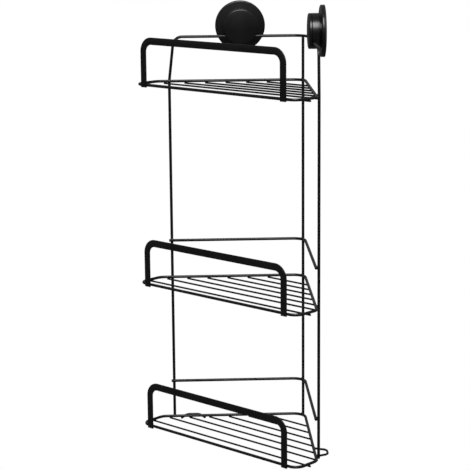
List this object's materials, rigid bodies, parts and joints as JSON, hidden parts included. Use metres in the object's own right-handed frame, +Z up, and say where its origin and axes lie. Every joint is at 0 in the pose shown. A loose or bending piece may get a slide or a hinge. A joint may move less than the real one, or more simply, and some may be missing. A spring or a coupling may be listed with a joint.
{
  "type": "corner shower caddy",
  "caption": "Tall corner shower caddy of coated wire with flat-strip guard rails, held to two walls by twist-lock suction cups.",
  "frame": {"origin": "centre of the caddy's bounding box at its lowest point, the underside of the spacer loops", "axes": "+Z up; -Y towards the bather, square to the front guard rails; the room corner is behind on +Y and its walls run at 45 degrees to X"},
  "size_m": [0.299, 0.1904, 0.605],
  "materials": {
    "frame_coating": "satin black powder coat",
    "cup_plastic": "satin moulded black",
    "pad_rubber": "soft black",
    "stud_steel": "plated",
    "insert_brass": "machined"
  },
  "bodies": {
    "frame": {"hanging_frame_wire": "frame_coating", "corner_upright": "frame_coating", "top_shelf_rim": "frame_coating", "middle_shelf_rim": "frame_coating", "bottom_shelf_rim": "frame_coating", "top_shelf_wire_1": "frame_coating", "top_shelf_wire_2": "frame_coating", "top_shelf_wire_3": "frame_coating", "top_shelf_wire_4": "frame_coating", "top_shelf_wire_5": "frame_coating", "top_shelf_wire_6": "frame_coating", "top_shelf_wire_7": "frame_coating", "middle_shelf_wire_1": "frame_coating", "middle_shelf_wire_2": "frame_coating", "middle_shelf_wire_3": "frame_coating", "middle_shelf_wire_4": "frame_coating", "middle_shelf_wire_5": "frame_coating", "middle_shelf_wire_6": "frame_coating", "middle_shelf_wire_7": "frame_coating", "bottom_shelf_wire_1": "frame_coating", "bottom_shelf_wire_2": "frame_coating", "bottom_shelf_wire_3": "frame_coating", "bottom_shelf_wire_4": "frame_coating", "bottom_shelf_wire_5": "frame_coating", "bottom_shelf_wire_6": "frame_coating", "bottom_shelf_wire_7": "frame_coating", "top_guard_rail": "frame_coating", "middle_guard_rail": "frame_coating", "bottom_guard_rail": "frame_coating", "middle_back_rail": "frame_coating", "bottom_back_rail": "frame_coating", "left_wall_spacer": "frame_coating", "right_wall_spacer": "frame_coating"},
    "left_cup": {"left_cup_housing": "cup_plastic", "left_suction_pad": "pad_rubber"},
    "left_knob": {"left_knob": "cup_plastic", "left_nut_insert": "insert_brass"},
    "left_stud": {"left_stud": "stud_steel", "left_pad_core": "pad_rubber"},
    "right_cup": {"right_cup_housing": "cup_plastic", "right_suction_pad": "pad_rubber"},
    "right_knob": {"right_knob": "cup_plastic", "right_nut_insert": "insert_brass"},
    "right_stud": {"right_stud": "stud_steel", "right_pad_core": "pad_rubber"}
  },
  "joints": [
    {"name": "left_cup_slide", "type": "slide", "parent": "frame", "child": "left_cup", "axis": [-0.7071, -0.7071, 0], "range_m": [-0.04, 0.05]},
    {"name": "left_knob_turn", "type": "hinge", "parent": "left_cup", "child": "left_knob", "pos_m": [-0.07732, 0.04737, 0.57005], "axis": [0.7071, -0.7071, 0], "range_deg": [0, 270]},
    {"name": "left_stud_release", "type": "slide", "parent": "left_cup", "child": "left_stud", "axis": [-0.7071, 0.7071, 0], "range_m": [0, 0.0024]},
    {"name": "right_cup_slide", "type": "slide", "parent": "frame", "child": "right_cup", "axis": [0.7071, -0.7071, 0], "range_m": [-0.04, 0.05]},
    {"name": "right_knob_turn", "type": "hinge", "parent": "right_cup", "child": "right_knob", "pos_m": [0.07732, 0.04737, 0.57005], "axis": [-0.7071, -0.7071, 0], "range_deg": [0, 270]},
    {"name": "right_stud_release", "type": "slide", "parent": "right_cup", "child": "right_stud", "axis": [0.7071, 0.7071, 0], "range_m": [0, 0.0024]}
  ],
  "couplings": [
    {"joint": "left_stud_release", "follows": "left_knob_turn", "m_per_rad": 0.00048807},
    {"joint": "right_stud_release", "follows": "right_knob_turn", "m_per_rad": 0.00048807}
  ]
}
